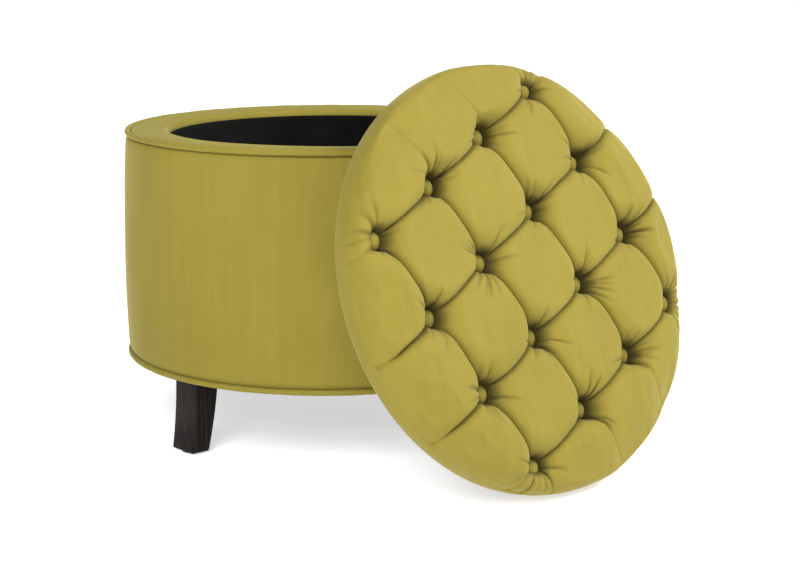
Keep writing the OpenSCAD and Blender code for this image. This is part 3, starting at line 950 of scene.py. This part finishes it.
@made_once
def stained_wood():
    """Dark stained wood: long grain down the leg, a little paler in streaks, under a thin satin lacquer."""
    paint = bpy.context.scene.ottoman_finish
    f = Finish("stained_wood")
    grain = f.noise(f.place("Object", (260, 260, 9)), 1.0, 4.0, 0.6)
    rings = f.node(
        "ShaderNodeTexWave", {"bands_direction": "X"},
        {
            "Vector": f.place("Object", (1, 1, 0.12)),
            "Scale": 38.0, "Distortion": 5.0, "Detail": 3.0, "Detail Scale": 2.0,
        },
        out="Fac",
    )
    tint = tuple(paint.stain)
    pattern = f.spread(0.65 * grain + 0.35 * rings, 0.3, 0.75)
    return f.shade(
        Base_Color=f.mix(pattern, tint, (0.0130, 0.0090, 0.0072)),
        Roughness=0.36 + 0.16 * grain,
        Specular_IOR_Level=0.09,
        Coat_Weight=0.02,
        Coat_Roughness=0.3,
        Normal=f.bump(grain, 0.12, 0.0004),
    )


def timber(name, pale, dark, stretch, roughness):
    """Raw wood: fibres drawn out along one direction, with broader bands of darker growth."""
    f = Finish(name)
    fibres = f.noise(f.place("Object", stretch), 1.0, 4.0, 0.65)
    bands = f.noise(f.place("Object", tuple(0.12 * s for s in stretch)), 1.0, 3.0)
    return f.shade(
        Base_Color=f.mix(f.spread(0.6 * fibres + 0.4 * bands, 0.3, 0.7), pale, dark),
        Roughness=roughness,
        Normal=f.bump(fibres, 0.2, 0.0004),
    )


def speckled(name, pale, dark, scale, roughness, metallic=0.0):
    """A plain material with fine speckle and slow patches."""
    f = Finish(name)
    specks = f.noise(f.place(), scale, 3.0, 0.6)
    patches = f.noise(f.place(), scale / 30, 2.0)
    return f.shade(
        Base_Color=f.mix(f.spread(0.6 * specks + 0.4 * patches, 0.3, 0.7), pale, dark),
        Roughness=roughness + 0.12 * patches,
        Metallic=metallic,
        Normal=f.bump(specks, 0.15, 0.0003),
    )


class OTTOMAN_OT_frame(bpy.types.Operator):
    """Give every part of the frame its finish"""

    bl_idname = "ottoman.frame"
    bl_label = "Frame finishes"

    def execute(self, context):
        finishes = {
            "plywood": timber("plywood", (0.62, 0.47, 0.29), (0.46, 0.32, 0.18), (8, 90, 700), 0.62),
            "softwood": timber("softwood", (0.66, 0.50, 0.31), (0.50, 0.34, 0.18), (160, 160, 8), 0.60),
            "fibreboard": speckled("fibreboard", (0.36, 0.25, 0.15), (0.28, 0.18, 0.10), 600, 0.75),
            "padding": speckled("padding", (0.82, 0.81, 0.77), (0.72, 0.70, 0.64), 300, 0.9),
            "cord": speckled("cord", (0.76, 0.71, 0.60), (0.62, 0.56, 0.45), 900, 0.85),
            "nylon": speckled("nylon", (0.03, 0.03, 0.03), (0.045, 0.045, 0.045), 400, 0.42),
            "steel": speckled("steel", (0.60, 0.61, 0.63), (0.48, 0.49, 0.51), 500, 0.30, 1.0),
            "velvet": velvet(),
            "well_lining": black_cloth(),
            "dust_cloth": black_cloth(),
            "stained_legs": stained_wood(),
        }
        slots = {part["node"]: part["material_slot"] for part in frame["record"]["subparts"]}
        for name, piece in frame["nodes"].items():
            material = finishes[slots[name]]
            if not piece.material_slots:
                piece.data.materials.append(material)
            for place in piece.material_slots:
                place.material = material
        return {"FINISHED"}


class OTTOMAN_OT_studio(bpy.types.Operator):
    """Set up the floor, the soft light and the camera"""

    bl_idname = "ottoman.studio"
    bl_label = "Studio"

    def execute(self, context):
        scene = context.scene
        scene.view_settings.view_transform = "Standard"
        forward = Vector((0.65212, 0.73164, -0.19861)).normalized()
        camera = bpy.data.objects.new("camera", bpy.data.cameras.new("camera"))
        camera.data.lens, camera.data.sensor_width = 81.08, 36.0
        camera.data.clip_end = 200
        camera.location = (-1.5735, -1.8068, 0.6964)
        camera.rotation_euler = forward.to_track_quat("-Z", "Y").to_euler()
        scene.collection.objects.link(camera)
        scene.camera = camera

        mesh = bpy.data.meshes.new("floor")
        far = 60.0
        mesh.from_pydata([(-far, -far, 0), (far, -far, 0), (far, far, 0), (-far, far, 0)], [], [(0, 1, 2, 3)])
        floor = bpy.data.objects.new("floor", mesh)
        scene.collection.objects.link(floor)
        f = Finish("floor")
        # the lamps light the floor around the object, and its own glow, stronger further off, keeps it pale
        distance = f.node("ShaderNodeVectorMath", {"operation": "LENGTH"}, {0: f.place()}, out="Value")
        glow = f.mix(f.spread(distance, 0.6, 3.2), (0.60, 0.60, 0.60), (0.82, 0.82, 0.82))
        pale = (0.80, 0.80, 0.795, 1)
        mesh.materials.append(
            f.shade(Base_Color=pale, Roughness=0.9, Emission_Color=glow, Emission_Strength=1.0)
        )

        world = bpy.data.worlds.new("studio")
        scene.world = world
        world.use_nodes = True
        back = world.node_tree.nodes["Background"]
        back.inputs["Color"].default_value = (1, 1, 1, 1)
        back.inputs["Strength"].default_value = 0.36

        ahead = Vector((forward.x, forward.y, 0)).normalized()
        right = Vector((ahead.y, -ahead.x, 0))
        aim = Vector((0, 0, 0.25))
        for name, side, back_off, up, wide, power in (
            ("key", 2.7, 0.2, 2.2, 1.5, 150),
            ("fill", -0.8, 2.8, 1.9, 2.0, 135),
        ):
            lamp = bpy.data.objects.new(name, bpy.data.lights.new(name, "AREA"))
            lamp.data.shape, lamp.data.size, lamp.data.energy = "DISK", wide, power
            lamp.location = aim + right * side - ahead * back_off + Vector((0, 0, up))
            lamp.rotation_euler = (aim - lamp.location).to_track_quat("-Z", "Y").to_euler()
            scene.collection.objects.link(lamp)
        return {"FINISHED"}


class OTTOMAN_PT_panel(bpy.types.Panel):
    """Lists the ottoman's operators"""

    bl_idname = "OTTOMAN_PT_panel"
    bl_label = "Ottoman"
    bl_space_type = "VIEW_3D"
    bl_region_type = "UI"
    bl_category = "Ottoman"

    def draw(self, context):
        for operator in OPERATORS:
            self.layout.operator(operator.bl_idname)


OPERATORS = (
    OTTOMAN_OT_studio,
    OTTOMAN_OT_frame,
    OTTOMAN_OT_cushion,
    OTTOMAN_OT_buttons,
    OTTOMAN_OT_side,
    OTTOMAN_OT_collar,
    OTTOMAN_OT_welts,
    OTTOMAN_OT_linings,
    OTTOMAN_OT_legs,
)


def register():
    for cls in (*GROUPS.values(), *OPERATORS, OTTOMAN_PT_panel):
        bpy.utils.register_class(cls)
    for name, group in GROUPS.items():
        setattr(bpy.types.Scene, name, bpy.props.PointerProperty(type=group))


def unregister():
    for name in GROUPS:
        delattr(bpy.types.Scene, name)
    for cls in (OTTOMAN_PT_panel, *reversed(OPERATORS), *reversed(GROUPS.values())):
        bpy.utils.unregister_class(cls)


def main():
    register()
    for operator in OPERATORS:
        group, name = operator.bl_idname.split(".")
        getattr(getattr(bpy.ops, group), name)()


if __name__ == "__main__":
    main()
